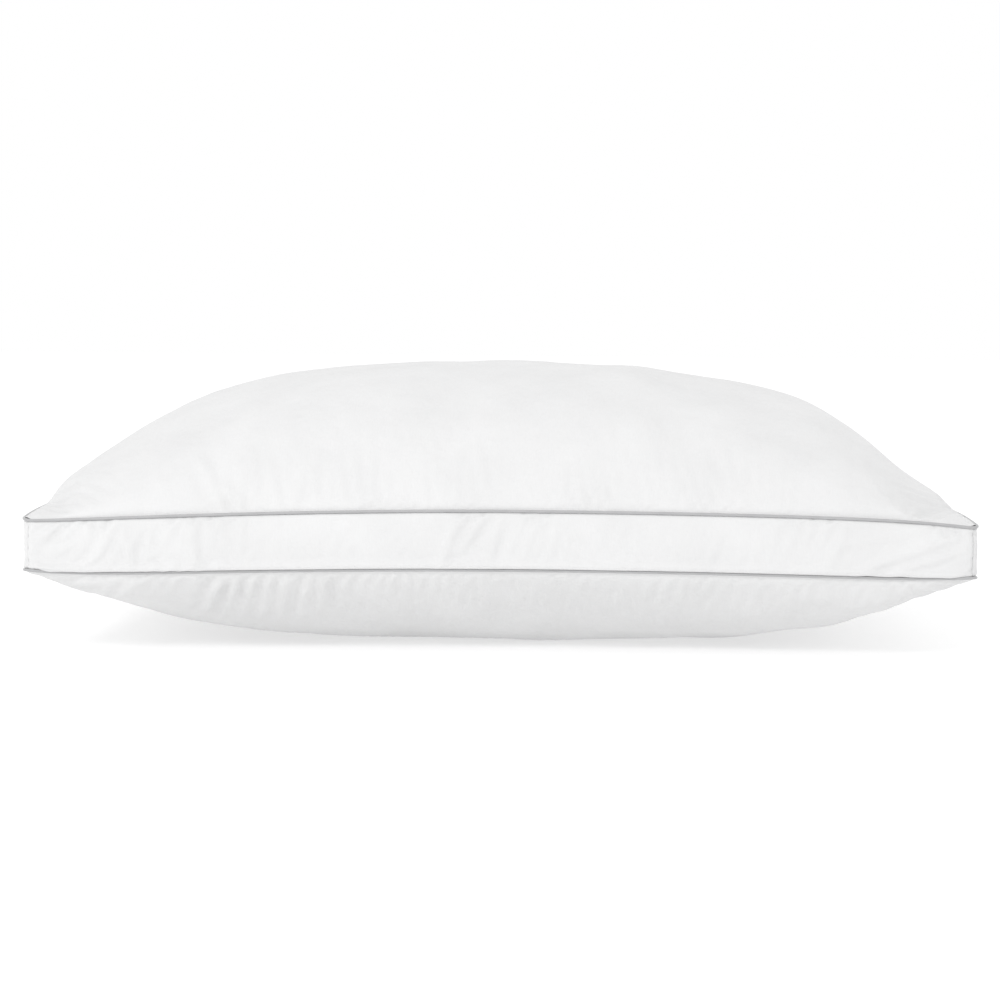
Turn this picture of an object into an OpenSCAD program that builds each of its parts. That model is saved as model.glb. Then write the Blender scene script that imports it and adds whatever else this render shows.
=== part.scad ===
// Gusseted bed pillow: two crowned ticking panels joined by a gusset, with a
// piped seam all round the top and another all round the bottom, over loose fill.
// Origin: centre of the flat patch that it rests on. X runs along the pillow,
// Y across it, Z up. Millimetres.

/* [Overall size] */
// Length from corner to corner, along the seams
pillow_length = 735; // [600:5:920]
// Width from corner to corner, along the seams
pillow_width = 485; // [400:5:600]
// Rise of the top panel above the top seam
crown_height = 111; // [60:1:130]
// Depth of the bottom panel below the bottom seam
belly_depth = 70; // [45:1:90]
// Length of the flat patch that the pillow rests on
rest_length = 280; // [180:5:480]
// Width of the flat patch that the pillow rests on
rest_width = 180; // [120:5:320]

/* [Seam outline] */
// How far a short side curves in between its corners
end_pull_in = 14; // [0:1:25]
// How far a long side curves in between its corners
side_pull_in = 11; // [0:1:25]
// Radius of the seam round a corner
corner_radius = 9; // [6:1:20]
// How far both seams sink from the middle of a side to its corners
corner_sag = 5.5; // [0:0.5:8]
// How far each seam leans towards the other at a corner
corner_pinch = 4; // [0:0.5:6]
// How far the top seam droops on the way to the left end
left_droop = 5.5; // [0:0.5:7]

/* [Gusset] */
// Height of the gusset, from seam to seam
gusset_height = 46; // [30:1:75]
// How far the gusset bulges out between its seams
gusset_bulge = 3; // [0:0.5:8]

/* [Cloth and seams] */
// Thickness of the ticking
cloth = 0.6; // [0.4:0.1:1.2]
// Thickness of the piping's bias strip
bias_cloth = 0.4; // [0.3:0.1:0.8]
// Diameter of the cord inside the piping
cord_diameter = 2; // [1.8:0.1:5]
// Cloth left inside a seam, past its stitches
seam_allowance = 10; // [8:0.5:14]
// Diameter of the sewing thread
thread = 0.5; // [0.3:0.1:0.8]
// Width of the overlock edging on a seam's raw edges
overlock_width = 4; // [3:0.5:5]
// Clearance between neighbouring pieces
gap = 0.1; // [0.05:0.05:0.2]

/* [Closing seam and label] */
// Length of the stitched-up filling slot in the left end
closing_length = 180; // [100:5:250]
// Distance from one closing stitch to the next
closing_pitch = 5; // [4:0.5:8]
// Length of one closing stitch
closing_stitch = 3.4; // [2:0.1:3.8]
// Width of the blank care label
label_width = 34; // [20:1:36]
// Length of the care label below its seam
label_drop = 36; // [20:1:40]
// Thickness of the folded care label
label_cloth = 0.5; // [0.3:0.1:0.8]

/* [Hidden] */

white_cloth = [0.93, 0.93, 0.93];
grey_cloth = [0.62, 0.62, 0.63];
white_thread = [0.85, 0.85, 0.85];
white_fibre = [0.95, 0.94, 0.9];

// Steps along a long side, a short side and half of a corner's arc.
long_steps = 15;
short_steps = 9;
half_arc_steps = 2;
long_run = long_steps + 2 * half_arc_steps;
short_run = short_steps + 2 * half_arc_steps;
stations = 2 * (long_run + short_run);

// How sharply the pinch closes on a corner.
pinch_power = 8;
// The droop's course towards the left end, and the bottom seam's share of it
droop_power = 1.5;
droop_end_power = 8;
bottom_droop_share = 0.4;
// Shape of the crown from seam to centre, and of the belly from seam to floor.
crown_power = 3;
crown_fullness = 0.77;
belly_power = 2.1;
// How quickly the corners round off away from the seam.
rounding_power = 0.3;
// Rings of the crown and of the belly, from the seam inwards.
crown_rings = [0.004, 0.015, 0.04, 0.08, 0.14, 0.22, 0.32, 0.44, 0.58, 0.74, 0.9];
belly_rings = [0.02, 0.06, 0.13, 0.22, 0.34, 0.48, 0.64, 0.82, 1];

// Layers of a seam, as heights above or below the middle of the piping's flange.
flange = gap / 2 + bias_cloth;
cloth_near = flange + gap;
cloth_far = cloth_near + cloth;
thread_height = cloth_far + gap + thread / 2;
overlock_near = cloth_far + gap;
overlock_far = overlock_near + thread;
overlock_end = seam_allowance + gap;
cover_radius = cord_diameter / 2 + gap + bias_cloth;
stitch_inset = 2.2 + cloth;

// Seam levels: 0 is the bottom seam and 1 the top seam.
bottom_seam = 0;
top_seam = 1;

// Levels of the gusset's rings, and its flaps turned in at the corners.
gusset_levels = [0.9, 0.7, 0.5, 0.3, 0.1];
flap = 8;
flap_stitch = 4;

// The label hangs from the back, in the step after this station.
label_station = long_run + short_run + half_arc_steps + 3;
label_dip = label_cloth + gap;

// The fill stands clear of the cloth and of the seams by this much.
fill_gap = 0.5;
fill_skin = cloth + fill_gap;
fill_inset = overlock_end + thread + fill_gap;
fill_height = overlock_far + fill_gap;
fill_levels = [0.88, 0.68, 0.5, 0.32, 0.12];

// ---------------------------------------------------------------- outline

function mix(a, b, t) = a + (b - a) * t;

function unit(v) = v / norm(v);

function joined(lists) = [for (l = lists) for (x = l) x];

function backwards(list) = [for (i = [len(list) - 1 : -1 : 0]) list[i]];

// Draws the sides in between the corners.
function pulled_in(p) = [
    p.x * (1 - 2 * end_pull_in / pillow_length * (1 - pow(2 * p.y / pillow_width, 2))),
    p.y * (1 - 2 * side_pull_in / pillow_width * (1 - pow(2 * p.x / pillow_length, 2)))];

function arc(a, b, r, sx, sy, from) = [
    for (i = [0 : half_arc_steps])
        let (t = from + 45 * i / half_arc_steps)
            [sx * (a - r) + r * cos(t), sy * (b - r) + r * sin(t)]];

function straight(p, q, steps) = [for (i = [1 : steps - 1]) mix(p, q, i / steps)];

// One side of a rounded rectangle, from the middle of a corner to just before the next.
function side_run(from_arc, to_arc, steps) = concat(
    from_arc, straight(from_arc[half_arc_steps], to_arc[0], steps),
    [for (i = [0 : half_arc_steps - 1]) to_arc[i]]);

// A rounded rectangle of half sizes a and b, from the middle of the front left
// corner, anticlockwise from above. Every outline has the same stations.
function rounded(a, b, r) = concat(
    side_run(arc(a, b, r, -1, -1, 225), arc(a, b, r, 1, -1, 270), long_steps),
    side_run(arc(a, b, r, 1, -1, 315), arc(a, b, r, 1, 1, 0), short_steps),
    side_run(arc(a, b, r, 1, 1, 45), arc(a, b, r, -1, 1, 90), long_steps),
    side_run(arc(a, b, r, -1, 1, 135), arc(a, b, r, -1, -1, 180), short_steps));

// The seam's outline, moved inwards by inset.
function outline(inset, r = corner_radius) = [
    for (p = rounded(pillow_length / 2 - inset, pillow_width / 2 - inset, max(r - inset, 0.6)))
        pulled_in(p)];

function cornerness(p, power) =
    pow(abs(2 * p.x / pillow_length) * abs(2 * p.y / pillow_width), power);

// How far a seam level droops at a point in plan, on the way to the left end.
function droop(p, level) =
    let (t = min(max(-2 * p.x / pillow_length, 0), 1))
    left_droop * (bottom_droop_share + (1 - bottom_droop_share) * level)
    * pow(t, droop_power) * (1 - pow(t, droop_end_power));

// Height of a seam level at a point in plan.
function seam_z(p, level) =
    belly_depth + gusset_height * level - corner_sag * cornerness(p, 2)
    + corner_pinch * (1 - 2 * level) * cornerness(p, pinch_power) - droop(p, level);

// A ring round the pillow at [inset, level, height above that level].
function level_ring(at, r = corner_radius) = [
    for (p = outline(at[0], r)) [p.x, p.y, seam_z(p, at[1]) + at[2]]];

// How far the layers under the label are pushed down at a station.
function dip(i) = i == label_station || i == label_station + 1 ? label_dip : 0;

function lies_under_label(at) = at[0] >= 0 && at[1] == bottom_seam && at[2] < -flange;

function ring(at) = let (r = level_ring(at))
    lies_under_label(at) ? [for (i = [0 : stations - 1]) r[i] - [0, 0, dip(i)]] : r;

// ---------------------------------------------------------------- crown and belly

// Share s runs from 0 at the seam to 1 at the centre. Corners round off quickly,
// so a panel lies flat in its corners and swells along its sides.
function rounding(s) = pow(s, rounding_power) * (1 - s) + s;

function crown_z(s) = crown_height * pow(1 - pow(1 - s, crown_power), crown_fullness);

function crown_ring(s, skin) = let (
    a = (pillow_length / 2 - skin) * (1 - s),
    b = (pillow_width / 2 - skin) * (1 - s),
    r = mix(corner_radius, b, rounding(s)))
    [for (p = rounded(a, b, min(r, b * 0.995)))
        let (q = pulled_in(p))
            [q.x, q.y, seam_z(q, top_seam) + cloth_near + crown_z(s) * (1 - skin / crown_height)]];

function crown_pole(skin) =
    [0, 0, belly_depth + gusset_height + cloth_near + crown_height - skin];

// Share s runs from 0 at the seam to 1 at the edge of the flat patch.
function belly_ring(s, skin) = let (
    a = mix(pillow_length / 2 - skin, rest_length / 2, s),
    b = mix(pillow_width / 2 - skin, rest_width / 2, s),
    share = 1 - pow(1 - s, belly_power),
    plan = rounded(a, b, mix(corner_radius, rest_width / 2 - 1, rounding(s))))
    [for (i = [0 : stations - 1])
        let (q = pulled_in(plan[i]), top = seam_z(q, bottom_seam) - cloth_near - dip(i))
            [q.x, q.y, mix(top, skin, share)]];

// ---------------------------------------------------------------- solids from rings

// Two triangles between stations i and j of the rows that begin at a and b.
function facet(a, b, i, j) = [[a + i, a + j, b + j], [a + i, b + j, b + i]];

// A solid from rings, closed at both ends by a point.
module poled(first, rings, last) {
    n = len(rings[0]);
    m = len(rings);
    polyhedron(
        points = concat([first], joined(rings), [last]),
        faces = concat(
            [for (i = [0 : n - 1]) [0, 1 + (i + 1) % n, 1 + i]],
            joined([for (k = [0 : m - 2]) for (i = [0 : n - 1])
                facet(1 + k * n, 1 + (k + 1) * n, i, (i + 1) % n)]),
            [for (i = [0 : n - 1]) [1 + n * m, 1 + (m - 1) * n + i, 1 + (m - 1) * n + (i + 1) % n]]));
}

// A closed band all the way round: rings in the order of its section's outline.
module looped(rings) {
    n = len(rings[0]);
    m = len(rings);
    polyhedron(
        points = joined(rings),
        faces = joined([for (k = [0 : m - 1]) for (i = [0 : n - 1])
            facet(k * n, (k + 1) % m * n, i, (i + 1) % n)]));
}

// ---------------------------------------------------------------- panels

module top_panel() {
    color(white_cloth)
    poled(
        crown_pole(0),
        concat(
            [for (s = backwards(crown_rings)) crown_ring(s, 0)],
            [ring([0, top_seam, cloth_near]),
             ring([seam_allowance, top_seam, cloth_near]),
             ring([seam_allowance, top_seam, cloth_far]),
             ring([2 * cloth, top_seam, cloth_far])],
            [for (i = [1 : len(crown_rings) - 1]) crown_ring(crown_rings[i], cloth)]),
        crown_pole(cloth));
}

module bottom_panel() {
    color(white_cloth)
    poled(
        [0, 0, cloth],
        concat(
            [for (i = [len(belly_rings) - 1 : -1 : 1]) belly_ring(belly_rings[i], cloth)],
            [ring([2 * cloth, bottom_seam, -cloth_far]),
             ring([seam_allowance, bottom_seam, -cloth_far]),
             ring([seam_allowance, bottom_seam, -cloth_near]),
             ring([0, bottom_seam, -cloth_near])],
            [for (s = belly_rings) belly_ring(s, 0)]),
        [0, 0, 0]);
}

// ---------------------------------------------------------------- gusset

function wall_inset(level) = -gusset_bulge * sin(180 * level);

// Plan directions at a corner: inwards, and along the strip that lies towards station i.
function inwards(corner) = let (c = corner % stations)
    unit(outline(12)[c] - outline(0)[c]);

function along(corner, i) = let (
    d = inwards(corner),
    e = outline(0)[i % stations] - outline(0)[corner % stations])
    unit(e - d * (e * d));

function flat(v) = [v.x, v.y, 0];

// One strip: its wall, an allowance turned in at each seam and a flap at each end.
module gusset_strip(first, last) {
    top = len(gusset_levels) + 3;
    outer = concat(
        [[seam_allowance, top_seam, -cloth_near], [0, top_seam, -cloth_near]],
        [for (l = gusset_levels) [wall_inset(l), l, 0]],
        [[0, bottom_seam, cloth_near], [seam_allowance, bottom_seam, cloth_near]]);
    inner = concat(
        [[seam_allowance, top_seam, -cloth_far], [cloth, top_seam, -cloth_far]],
        [for (l = gusset_levels) [cloth + wall_inset(l), l, 0]],
        [[cloth, bottom_seam, cloth_far], [seam_allowance, bottom_seam, cloth_far]]);
    rows = len(outer);
    n = last - first + 1;
    // How far a row's end stands from the middle of the corner's seam.
    turned = [for (k = [0 : rows - 1]) k > 1 && k < rows - 2 ? cloth : 0];
    ends = [along(first, first + 1), along(last, last - 1)];
    row_points = [for (side = [0, 1]) for (k = [0 : rows - 1])
        let (r = level_ring(side == 0 ? outer[k] : inner[k]), off = gap / 2 + side * turned[k])
            concat([r[first] + flat(ends[0]) * off],
                   [for (i = [first + 1 : last - 1]) r[i]],
                   [r[last % stations] + flat(ends[1]) * off])];
    corners = [level_ring([0, 0, 0])[first], level_ring([0, 0, 0])[last % stations]];
    flap_points = [for (end = [0, 1]) for (side = [0, 1]) for (k = [2 : rows - 3])
        let (p = corners[end] + flat(inwards(end == 0 ? first : last)) * flap
                 + flat(ends[end]) * (gap / 2 + side * cloth),
             z = row_points[side * rows + k][end == 0 ? 0 : n - 1].z)
            [p.x, p.y, z]];
    walls = rows - 4;
    base = 2 * rows * n;
    outer_row = [for (k = [0 : rows - 1]) k * n];
    inner_row = [for (k = [0 : rows - 1]) (rows + k) * n];
    // Faces at the first end; the last end has the same ones, turned over.
    function end_faces(c, f) = concat(
        joined([for (k = [0, 1, rows - 3, rows - 2])
            [[outer_row[k] + c, outer_row[k + 1] + c, inner_row[k + 1] + c],
             [outer_row[k] + c, inner_row[k + 1] + c, inner_row[k] + c]]]),
        joined([for (k = [0 : walls - 2])
            [[outer_row[k + 2] + c, outer_row[k + 3] + c, f + k + 1],
             [outer_row[k + 2] + c, f + k + 1, f + k],
             [f + k, f + k + 1, f + walls + k + 1],
             [f + k, f + walls + k + 1, f + walls + k],
             [inner_row[k + 2] + c, f + walls + k + 1, inner_row[k + 3] + c],
             [inner_row[k + 2] + c, f + walls + k, f + walls + k + 1]]]),
        [[outer_row[2] + c, f, inner_row[2] + c], [f, f + walls, inner_row[2] + c],
         [outer_row[rows - 3] + c, inner_row[rows - 3] + c, f + walls - 1],
         [f + walls - 1, inner_row[rows - 3] + c, f + 2 * walls - 1]]);
    color(white_cloth)
    polyhedron(
        points = concat(joined(row_points), flap_points),
        faces = concat(
            joined([for (k = [0 : rows - 2]) for (i = [0 : n - 2])
                concat(facet(outer_row[k], outer_row[k + 1], i, i + 1),
                       facet(inner_row[k + 1], inner_row[k], i, i + 1))]),
            joined([for (i = [0 : n - 2])
                concat(facet(inner_row[0], outer_row[0], i, i + 1),
                       facet(outer_row[rows - 1], inner_row[rows - 1], i, i + 1))]),
            end_faces(0, base),
            [for (face = end_faces(n - 1, base + 2 * walls)) backwards(face)]));
}

module gusset_front() { gusset_strip(0, long_run); }
module gusset_right() { gusset_strip(long_run, long_run + short_run); }
module gusset_back() { gusset_strip(long_run + short_run, 2 * long_run + short_run); }
module gusset_left() { gusset_strip(2 * long_run + short_run, stations); }

// ---------------------------------------------------------------- piping

// The tube's arc, left open towards the seam by an angle either side.
function tube(r, steps, open) = [
    for (i = [0 : steps])
        let (t = open + (360 - 2 * open) * i / steps)
            [-cover_radius + r * cos(t), r * sin(t)]];

// A bias strip folded round its cord, with both edges running into the seam.
module piping_cover(level) {
    inside = cord_diameter / 2 + gap;
    outer_path = concat([[seam_allowance, flange]],
        tube(cover_radius, 8, asin(flange / cover_radius)),
        [[seam_allowance, -flange]]);
    inner_path = concat([[seam_allowance, gap / 2]],
        tube(inside, 6, asin(gap / 2 / inside)),
        [[seam_allowance, -gap / 2]]);
    color(grey_cloth)
    looped([for (p = concat(outer_path, backwards(inner_path))) level_ring([p.x, level, p.y])]);
}

// A round cord or thread at an inset and height from a seam level.
module round_loop(inset, level, height, diameter, sides) {
    looped([for (i = [0 : sides - 1])
        let (t = 360 * (i + 0.5) / sides)
            ring([inset + diameter / 2 * cos(t), level, height + diameter / 2 * sin(t)])]);
}

module piping_cord(level) {
    color(white_fibre)
    round_loop(-cover_radius, level, 0, cord_diameter, 6);
}

module top_piping_cover() { piping_cover(top_seam); }
module top_piping_cord() { piping_cord(top_seam); }
module bottom_piping_cover() { piping_cover(bottom_seam); }
module bottom_piping_cord() { piping_cord(bottom_seam); }

// ---------------------------------------------------------------- threads

// The needle thread lies on a panel's allowance, the bobbin thread on the gusset's.
module seam_thread(level, height) {
    color(white_thread)
    round_loop(stitch_inset, level, height, thread, 4);
}

module top_seam_needle_thread() { seam_thread(top_seam, thread_height); }
module top_seam_bobbin_thread() { seam_thread(top_seam, -thread_height); }
module bottom_seam_needle_thread() { seam_thread(bottom_seam, -thread_height); }
module bottom_seam_bobbin_thread() { seam_thread(bottom_seam, thread_height); }

// Edging wrapped round the raw edges of all of a seam's layers.
module overlock(level) {
    from = seam_allowance - overlock_width;
    outside = overlock_end + thread;
    color(white_thread)
    looped([for (at = [[from, overlock_far], [from, overlock_near],
                       [overlock_end, overlock_near], [overlock_end, -overlock_near],
                       [from, -overlock_near], [from, -overlock_far],
                       [outside, -overlock_far], [outside, overlock_far]])
        ring([at.x, level, at.y])]);
}

module top_seam_overlock() { overlock(top_seam); }
module bottom_seam_overlock() { overlock(bottom_seam); }

// The gusset's corner seams: a thread on each side of each pair of flaps.
module corner_seam_threads() {
    seam = level_ring([0, bottom_seam, 0]);
    top = level_ring([0, top_seam, 0]);
    off = gap / 2 + cloth + gap + thread / 2;
    color(white_thread)
    for (c = [0, long_run, long_run + short_run, 2 * long_run + short_run])
        for (side = [-1, 1]) {
            rise = top[c].z - seam[c].z;
            translate(seam[c] + flat(inwards(c)) * flap_stitch
                      + flat(along(c, c + 1)) * off * side + [0, 0, rise * 0.14])
                cylinder(h = rise * 0.72, d = thread, $fn = 8);
        }
}

// A point on a ring at a whole or part station.
function ring_point(r, at) = mix(r[floor(at)], r[floor(at) + 1], at - floor(at));

// Straight stitches along the left end, just above the bottom piping.
module closing_stitches() {
    r = level_ring([wall_inset(0.1) - gap - thread / 2, 0.1, 0]);
    middle = 2 * long_run + short_run + short_run / 2;
    step = (pillow_width - 2 * corner_radius) / short_steps;
    count = floor(closing_length / closing_pitch);
    color(white_thread)
    for (i = [0 : count - 1]) {
        at = middle + (i - (count - 1) / 2) * closing_pitch / step;
        p = ring_point(r, at - closing_stitch / 2 / step);
        q = ring_point(r, at + closing_stitch / 2 / step);
        translate((p + q) / 2)
            rotate([0, 0, atan2(q.y - p.y, q.x - p.x)])
                cube([norm(q - p), thread, thread], center = true);
    }
}

// ---------------------------------------------------------------- label

// A blank folded tab caught in the back's bottom seam and hanging straight down.
module care_label() {
    high = flange + gap;
    low = high + label_cloth;
    outer = [[seam_allowance - 1, -high], [-0.1, -high], [-0.1 - label_cloth, -low - 0.6],
             [-0.1 - label_cloth, -label_drop]];
    inner = [[seam_allowance - 1, -low], [0.1, -low], [-0.1, -low - 0.8],
             [-0.1, -label_drop]];
    step = (pillow_length - 2 * corner_radius) / long_steps;
    trim = (1 - min(label_width / step, 0.96)) / 2;
    rows = [for (at = concat(outer, backwards(inner)))
        let (r = level_ring([at.x, bottom_seam, at.y]), a = r[label_station], b = r[label_station + 1])
            [mix(a, b, trim), mix(a, b, 1 - trim)]];
    m = len(rows);
    caps = [for (k = [0 : m / 2 - 2]) [2 * k, 2 * k + 2, 2 * (m - 2 - k), 2 * (m - 1 - k)]];
    color(white_thread)
    polyhedron(
        points = joined(rows),
        faces = concat(
            joined([for (k = [0 : m - 1]) facet(2 * k, 2 * ((k + 1) % m), 0, 1)]),
            joined([for (c = caps) [[c[0], c[1], c[2]], [c[0], c[2], c[3]]]]),
            joined([for (c = caps) [[c[2] + 1, c[1] + 1, c[0] + 1], [c[3] + 1, c[2] + 1, c[0] + 1]]])));
}

// ---------------------------------------------------------------- fill

// Loose fill, notched round both seams and rounded off at the corner flaps.
module fill() {
    around_flaps = corner_radius + (flap + 2) / (sqrt(2) - 1);
    color(white_fibre)
    poled(
        crown_pole(fill_skin),
        concat(
            [for (i = [len(crown_rings) - 1 : -1 : 2]) crown_ring(crown_rings[i], fill_skin)],
            [ring([fill_inset, top_seam, fill_height]),
             ring([fill_inset, top_seam, -fill_height])],
            [for (l = fill_levels) level_ring([fill_skin + wall_inset(l), l, 0], around_flaps)],
            [ring([fill_inset, bottom_seam, fill_height]),
             ring([fill_inset, bottom_seam, -fill_height])],
            [for (i = [2 : len(belly_rings) - 1]) belly_ring(belly_rings[i], fill_skin)]),
        [0, 0, fill_skin]);
}

// ---------------------------------------------------------------- model

top_panel();
bottom_panel();
gusset_front();
gusset_back();
gusset_left();
gusset_right();
top_piping_cover();
top_piping_cord();
bottom_piping_cover();
bottom_piping_cord();
top_seam_needle_thread();
top_seam_bobbin_thread();
bottom_seam_needle_thread();
bottom_seam_bobbin_thread();
top_seam_overlock();
bottom_seam_overlock();
corner_seam_threads();
closing_stitches();
care_label();
fill();
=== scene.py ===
"""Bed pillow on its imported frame: ticking shell, satin piping, cords, fill, label and stitches.

The sizes repeat part.scad's, in millimetres, and meshes are written in metres. The plan is a
rectangle with rounded corners, whose sides pulled_in() draws in. Each ticking piece starts from
the CAD's own form, gets spare length at its seams, and buckles in the small cloth solver below.
"""
import math

import bpy
import numpy as np
from mathutils import Euler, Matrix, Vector


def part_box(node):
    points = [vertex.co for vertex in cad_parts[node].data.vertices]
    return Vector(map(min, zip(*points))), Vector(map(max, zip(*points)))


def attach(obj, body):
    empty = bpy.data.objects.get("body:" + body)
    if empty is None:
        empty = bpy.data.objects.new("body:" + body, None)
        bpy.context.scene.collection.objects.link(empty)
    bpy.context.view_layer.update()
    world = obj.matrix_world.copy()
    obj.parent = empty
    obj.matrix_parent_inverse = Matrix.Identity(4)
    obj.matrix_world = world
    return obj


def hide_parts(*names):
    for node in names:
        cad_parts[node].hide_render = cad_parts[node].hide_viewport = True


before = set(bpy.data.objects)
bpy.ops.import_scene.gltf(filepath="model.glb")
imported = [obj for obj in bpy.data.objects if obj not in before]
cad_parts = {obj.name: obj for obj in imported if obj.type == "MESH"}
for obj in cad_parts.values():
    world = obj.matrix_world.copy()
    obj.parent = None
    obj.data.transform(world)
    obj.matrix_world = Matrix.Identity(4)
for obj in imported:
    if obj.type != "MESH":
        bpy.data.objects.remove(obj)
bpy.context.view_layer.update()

# ---- sizes (mm)
LENGTH, WIDTH = 735.0, 485.0
CROWN, BELLY = 111.0, 70.0
GUSSET, BULGE = 46.0, 3.0
# The flat patch that the pillow lies on.
REST_LENGTH, REST_WIDTH = 280.0, 180.0
# How far the middles of the ends and of the long sides are drawn in.
END_PULL, SIDE_PULL = 14.0, 11.0
# At the corners the seams sink by SAG and lean towards each other by PINCH.
CORNER_R, SAG, PINCH = 9.0, 5.5, 4.0
MIN_R = 0.6
# The top seam droops towards the left end, and the bottom one by a share of that.
LEFT_DROOP, DROOP_POWER, DROOP_END_POWER, BOTTOM_DROOP = 5.5, 1.5, 8.0, 0.4
# The curves of the crown's and the belly's sections.
CROWN_POWER, CROWN_FULL, BELLY_POWER, ROUNDING = 3.0, 0.77, 2.1, 0.3
# Seam allowances, and the flaps of the corner seams.
ALLOWANCE, FLAP = 10.0, 8.0
SEAM_INSETS = (1.2, 4.5, ALLOWANCE)
# Each cloth's height off the seam's own level: ticking, then the piping's two edges.
LAYER, STRIP = 0.85, 0.42
# The piping's centre, outside the seam line, and the radii of its cord and its strip.
CORD_OUT, CORD_R, TUBE_R = 1.5, 0.98, 1.12
MM = 0.001
BOTTOM, TOP = 0, 1


# ---- shape rules
def mix(a, b, t):
    return a + (b - a) * t


def smooth(t):
    """From 0 to 1 as t does, level at both ends."""
    t = np.clip(t, 0, 1)
    return t * t * (3 - 2 * t)


def pulled_in(p):
    """Plan points with the middles of all four sides drawn in."""
    x, y = p[..., 0], p[..., 1]
    return np.stack([
        x * (1 - 2 * END_PULL / LENGTH * (1 - (2 * y / WIDTH) ** 2)),
        y * (1 - 2 * SIDE_PULL / WIDTH * (1 - (2 * x / LENGTH) ** 2))], -1)


def cornerness(p, power):
    """1 at the corners and 0 on both middle lines."""
    return np.abs(4 * p[..., 0] * p[..., 1] / (LENGTH * WIDTH)) ** power


def droop(p, level):
    """How far the seam at a level lies lower over the left half."""
    t = np.clip(-2 * p[..., 0] / LENGTH, 0, 1)
    return LEFT_DROOP * mix(BOTTOM_DROOP, 1, level) * t ** DROOP_POWER * (1 - t ** DROOP_END_POWER)


def seam_z(p, level):
    """The height of the seams, with any level in between from BOTTOM to TOP."""
    return (BELLY + GUSSET * level - SAG * cornerness(p, 2)
            + PINCH * (1 - 2 * level) * cornerness(p, 8) - droop(p, level))


def rounding(s):
    """How round the outline is at share s of the way in."""
    return s ** ROUNDING * (1 - s) + s


def ring_share(p, sizes):
    """The share s at which a point lies on the rounded rectangle that sizes(s) gives."""
    low, high = np.zeros(p.shape[:-1]), np.ones(p.shape[:-1])
    halvings = 34
    for _ in range(halvings):
        s = (low + high) / 2
        a, b, r = sizes(s)
        q = np.abs(p) - np.stack([a - r, b - r], -1)
        d = np.hypot(*np.moveaxis(np.maximum(q, 0), -1, 0)) + np.minimum(q.max(-1), 0) - r
        low, high = np.where(d < 0, s, low), np.where(d < 0, high, s)
    return (low + high) / 2


def crown_sizes(s):
    """Half length, half width and corner radius of the crown's outline at share s."""
    a, b = LENGTH / 2 * (1 - s), WIDTH / 2 * (1 - s)
    return a, b, np.minimum(mix(CORNER_R, b, rounding(s)), b * 0.995)


def belly_sizes(s):
    """The same for the belly, whose outlines shrink to the flat patch."""
    return (mix(LENGTH / 2, REST_LENGTH / 2, s), mix(WIDTH / 2, REST_WIDTH / 2, s),
            mix(CORNER_R, REST_WIDTH / 2 - 1, rounding(s)))


def crown_rise(s):
    return CROWN * (1 - (1 - s) ** CROWN_POWER) ** CROWN_FULL


def belly_share(s):
    return 1 - (1 - s) ** BELLY_POWER


def noise(p, wavelength, seed, count=36):
    """Smooth noise of about unit spread at points p, in any number of dimensions."""
    rng = np.random.default_rng(seed)
    k = rng.normal(size=(count, p.shape[-1]))
    k *= (2 * np.pi / wavelength * rng.uniform(0.6, 1.5, count)
          / np.linalg.norm(k, axis=1))[:, None]
    phase = rng.uniform(0, 2 * np.pi, count)
    out = np.zeros(p.shape[:-1])
    for i in range(count):
        out += np.cos(p @ k[i] + phase[i])
    return out * math.sqrt(2 / count)


def crinkle(p, wavelength, stretch, seed):
    """Thin ridges in patches, drawn out along the second axis."""
    ridges = 0.6 - np.abs(noise(p * [1, 1 / stretch], wavelength, seed, 50))
    patches = np.clip(0.35 + 0.65 * noise(p, 95, seed + 1), 0, 1.5)
    return ridges * patches


def distance_along(points):
    """The distance of each point from the first, along the line of points."""
    return np.concatenate([[0], np.cumsum(np.linalg.norm(np.diff(points, axis=0), axis=1))])


def gathers(t, places):
    """The sum at t of listed bumps, each a (place, strength, spread) triple."""
    return sum(strength * np.exp(-((t - place) / spread) ** 2) for place, strength, spread in places)


# ---- cloth solver
SHEAR, BEND = 0.35, 0.05
SWEEPS, MAX_STEP, DAMPING = 5, 1.5, 0.9
QUICK_STEPS, PANEL_STEPS, GUSSET_STEPS = 14, 90, 110


def normals(X):
    """Unit normals of a grid of points."""
    n = np.cross(np.gradient(X, axis=0), np.gradient(X, axis=1))
    return n / np.maximum(np.linalg.norm(n, axis=-1, keepdims=True), 1e-9)


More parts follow.
